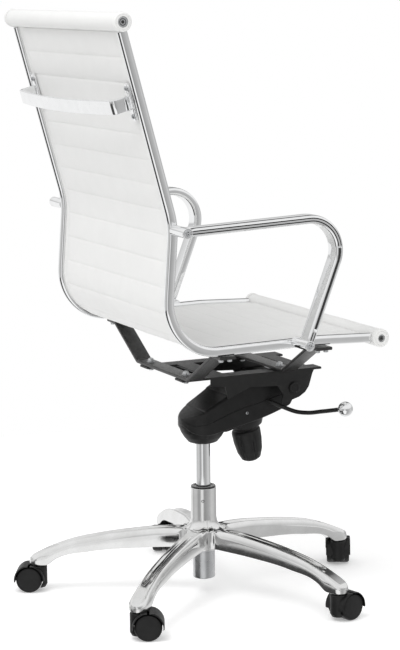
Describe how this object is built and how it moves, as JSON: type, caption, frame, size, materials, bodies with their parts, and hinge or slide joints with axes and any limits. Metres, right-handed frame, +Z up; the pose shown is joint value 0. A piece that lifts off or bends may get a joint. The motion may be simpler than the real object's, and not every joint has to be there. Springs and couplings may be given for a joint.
{
  "type": "swivel office chair",
  "caption": "High-back swivel office chair with a ribbed sling seat between chromed side rails, loop arms, tilt mechanism, gas lift and star base on twin-wheel casters.",
  "frame": {"origin": "on the floor, on the axis of the gas lift and of the star base", "axes": "+Z up, the seat faces -Y, +X is the sitter's left"},
  "size_m": [0.6524, 0.6904, 1.111],
  "materials": {
    "aluminium": "polished casting",
    "chrome": "bright chrome plate",
    "steel": "satin zinc",
    "leather": "smooth white leather",
    "white_plastic": "satin moulded",
    "black_plastic": "fine textured moulding",
    "black_steel": "satin black powder coat"
  },
  "bodies": {
    "base": {"star_base": "aluminium", "column_tube": "steel", "guide_bush": "black_plastic", "collar_set_screw": "black_steel"},
    "spindle": {"piston_rod": "steel", "retaining_clip": "black_steel"},
    "lift": {"gas_cylinder": "chrome", "lower_housing": "black_plastic", "housing_cover": "black_plastic", "housing_screw": "steel", "tilt_shaft": "steel", "tilt_spring": "steel"},
    "knob": {"tension_knob": "black_plastic", "tension_screw": "steel"},
    "lever": {"height_lever": "black_steel", "lever_ball": "chrome"},
    "seat": {"tilt_bracket": "black_steel", "pivot_cap_left": "black_plastic", "pivot_cap_right": "black_plastic", "front_brace": "black_steel", "rear_brace": "black_steel", "left_rail": "chrome", "right_rail": "chrome", "sling": "leather", "top_roll": "leather", "front_roll": "leather", "top_crossbar": "steel", "front_crossbar": "steel", "top_cap_left": "white_plastic", "top_cap_right": "white_plastic", "front_cap_left": "white_plastic", "front_cap_right": "white_plastic", "grab_handle": "chrome", "left_arm": "chrome", "right_arm": "chrome", "arm_stub_left": "chrome", "arm_stub_right": "chrome", "arm_foot_left": "chrome", "arm_foot_right": "chrome"},
    "caster_1": {"caster_1_hood": "black_plastic", "caster_1_stem": "steel"},
    "wheel_1a": {"caster_1_wheel_a": "black_plastic"},
    "wheel_1b": {"caster_1_wheel_b": "black_plastic"},
    "caster_2": {"caster_2_hood": "black_plastic", "caster_2_stem": "steel"},
    "wheel_2a": {"caster_2_wheel_a": "black_plastic"},
    "wheel_2b": {"caster_2_wheel_b": "black_plastic"},
    "caster_3": {"caster_3_hood": "black_plastic", "caster_3_stem": "steel"},
    "wheel_3a": {"caster_3_wheel_a": "black_plastic"},
    "wheel_3b": {"caster_3_wheel_b": "black_plastic"},
    "caster_4": {"caster_4_hood": "black_plastic", "caster_4_stem": "steel"},
    "wheel_4a": {"caster_4_wheel_a": "black_plastic"},
    "wheel_4b": {"caster_4_wheel_b": "black_plastic"},
    "caster_5": {"caster_5_hood": "black_plastic", "caster_5_stem": "steel"},
    "wheel_5a": {"caster_5_wheel_a": "black_plastic"},
    "wheel_5b": {"caster_5_wheel_b": "black_plastic"}
  },
  "joints": [
    {"name": "seat_swivel", "type": "hinge", "parent": "base", "child": "spindle", "pos_m": [0, 0, 0.1], "axis": [0, 0, 1], "continuous": true},
    {"name": "height_slide", "type": "slide", "parent": "spindle", "child": "lift", "axis": [0, 0, 1], "range_m": [-0.08, 0]},
    {"name": "seat_tilt", "type": "hinge", "parent": "lift", "child": "seat", "pos_m": [0, -0.147, 0.4], "axis": [-1, 0, 0], "range_deg": [0, 12], "stiffness_Nm_per_rad": 140, "springref_deg": -31.51},
    {"name": "height_lever_lift", "type": "hinge", "parent": "lift", "child": "lever", "pos_m": [-0.045, -0.103, 0.3745], "axis": [0, 1, 0], "range_deg": [0, 5], "stiffness_Nm_per_rad": 3, "springref_deg": -2.86},
    {"name": "tension_knob_turn", "type": "hinge", "parent": "lift", "child": "knob", "pos_m": [0, -0.0865, 0.331], "axis": [0, -0.2079, -0.9781], "continuous": true},
    {"name": "caster_1_swivel", "type": "hinge", "parent": "base", "child": "caster_1", "pos_m": [0.15587, 0.27833, 0.055], "axis": [0, 0, 1], "continuous": true},
    {"name": "caster_1_roll_a", "type": "hinge", "parent": "caster_1", "child": "wheel_1a", "pos_m": [0.16385, 0.29334, 0.025], "axis": [-0.8829, 0.4695, 0], "continuous": true},
    {"name": "caster_1_roll_b", "type": "hinge", "parent": "caster_1", "child": "wheel_1b", "pos_m": [0.16385, 0.29334, 0.025], "axis": [-0.8829, 0.4695, 0], "continuous": true},
    {"name": "caster_2_swivel", "type": "hinge", "parent": "base", "child": "caster_2", "pos_m": [-0.21654, 0.23425, 0.055], "axis": [0, 0, 1], "continuous": true},
    {"name": "caster_2_roll_a", "type": "hinge", "parent": "caster_2", "child": "wheel_2a", "pos_m": [-0.22372, 0.21884, 0.025], "axis": [0.9063, -0.4226, 0], "continuous": true},
    {"name": "caster_2_roll_b", "type": "hinge", "parent": "caster_2", "child": "wheel_2b", "pos_m": [-0.22372, 0.21884, 0.025], "axis": [0.9063, -0.4226, 0], "continuous": true},
    {"name": "caster_3_swivel", "type": "hinge", "parent": "base", "child": "caster_3", "pos_m": [-0.2897, -0.13355, 0.055], "axis": [0, 0, 1], "continuous": true},
    {"name": "caster_3_roll_a", "type": "hinge", "parent": "caster_3", "child": "wheel_3a", "pos_m": [-0.28558, -0.15005, 0.025], "axis": [0.9703, 0.2419, 0], "continuous": true},
    {"name": "caster_3_roll_b", "type": "hinge", "parent": "caster_3", "child": "wheel_3b", "pos_m": [-0.28558, -0.15005, 0.025], "axis": [0.9703, 0.2419, 0], "continuous": true},
    {"name": "caster_4_swivel", "type": "hinge", "parent": "base", "child": "caster_4", "pos_m": [0.03749, -0.31679, 0.055], "axis": [0, 0, 1], "continuous": true},
    {"name": "caster_4_roll_a", "type": "hinge", "parent": "caster_4", "child": "wheel_4a", "pos_m": [0.05251, -0.32477, 0.025], "axis": [0.4695, 0.8829, 0], "continuous": true},
    {"name": "caster_4_roll_b", "type": "hinge", "parent": "caster_4", "child": "wheel_4b", "pos_m": [0.05251, -0.32477, 0.025], "axis": [0.4695, 0.8829, 0], "continuous": true},
    {"name": "caster_5_swivel", "type": "hinge", "parent": "base", "child": "caster_5", "pos_m": [0.31287, -0.06223, 0.055], "axis": [0, 0, 1], "continuous": true},
    {"name": "caster_5_roll_a", "type": "hinge", "parent": "caster_5", "child": "wheel_5a", "pos_m": [0.29845, -0.05323, 0.025], "axis": [-0.5299, -0.848, 0], "continuous": true},
    {"name": "caster_5_roll_b", "type": "hinge", "parent": "caster_5", "child": "wheel_5b", "pos_m": [0.29845, -0.05323, 0.025], "axis": [-0.5299, -0.848, 0], "continuous": true}
  ]
}
